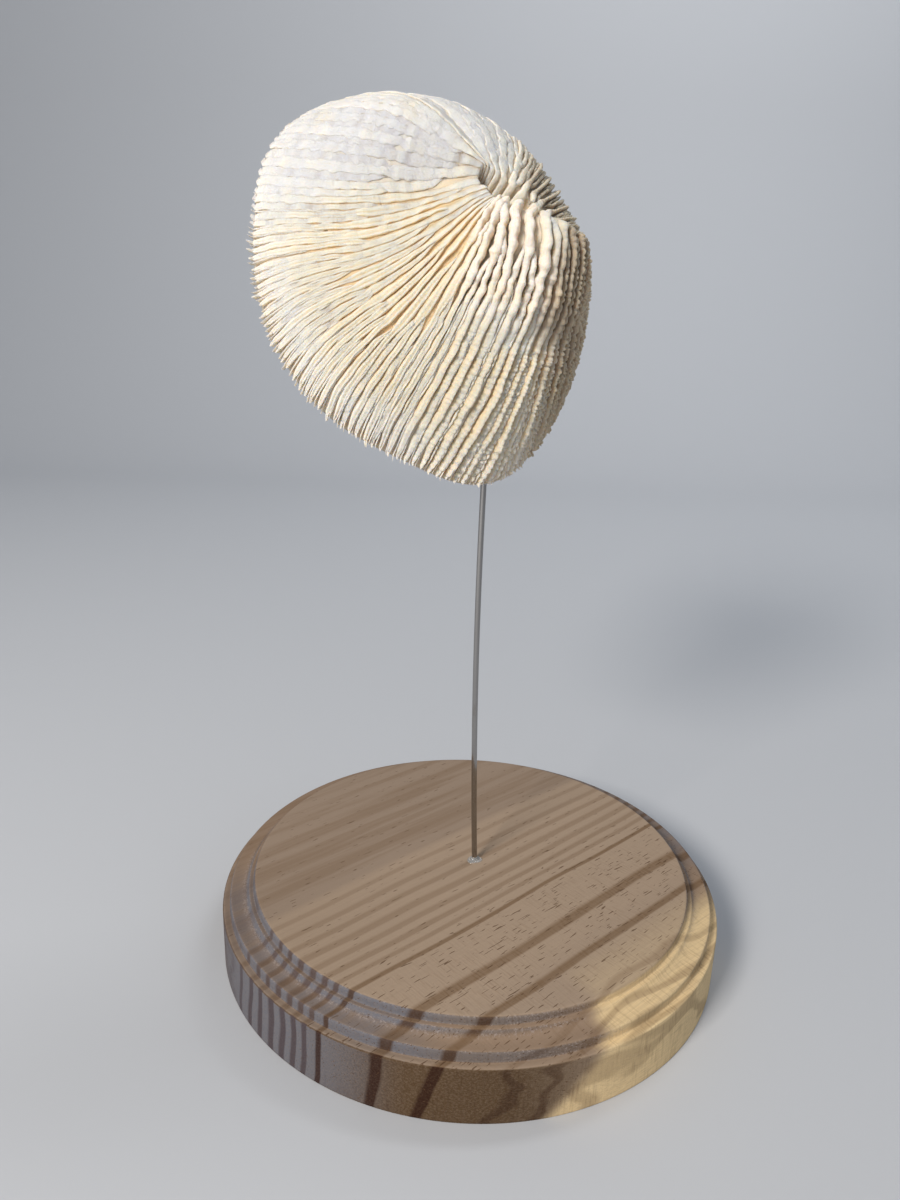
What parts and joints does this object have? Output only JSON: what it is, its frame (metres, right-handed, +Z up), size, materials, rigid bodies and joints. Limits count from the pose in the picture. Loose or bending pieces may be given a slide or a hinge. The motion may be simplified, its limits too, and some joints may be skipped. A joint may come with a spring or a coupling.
{
  "type": "mushroom coral",
  "caption": "Mushroom coral skeleton with fine ridges fanning out from a mouth groove, held up on a thin polished rod in a round stepped wooden base.",
  "frame": {"origin": "centre of the base's underside, on the surface it stands on", "axes": "+Z up along the stand; -Y is the front, where the coral's ridged face looks, leaning back and toward +X; +X to the right seen from the front"},
  "size_m": [0.18, 0.18, 0.2872],
  "materials": {
    "base_wood": "bare sanded pine with darker growth rings, satin",
    "rod_steel": "polished steel",
    "clear_glue": "clear set glue, glossy",
    "coral_skeleton": "matte white to cream limy skeleton, warm ochre in the grooves"
  },
  "bodies": {
    "root": {"base": "base_wood", "rod": "rod_steel", "glue_bead": "clear_glue", "coral": "coral_skeleton"}
  },
  "joints": []
}
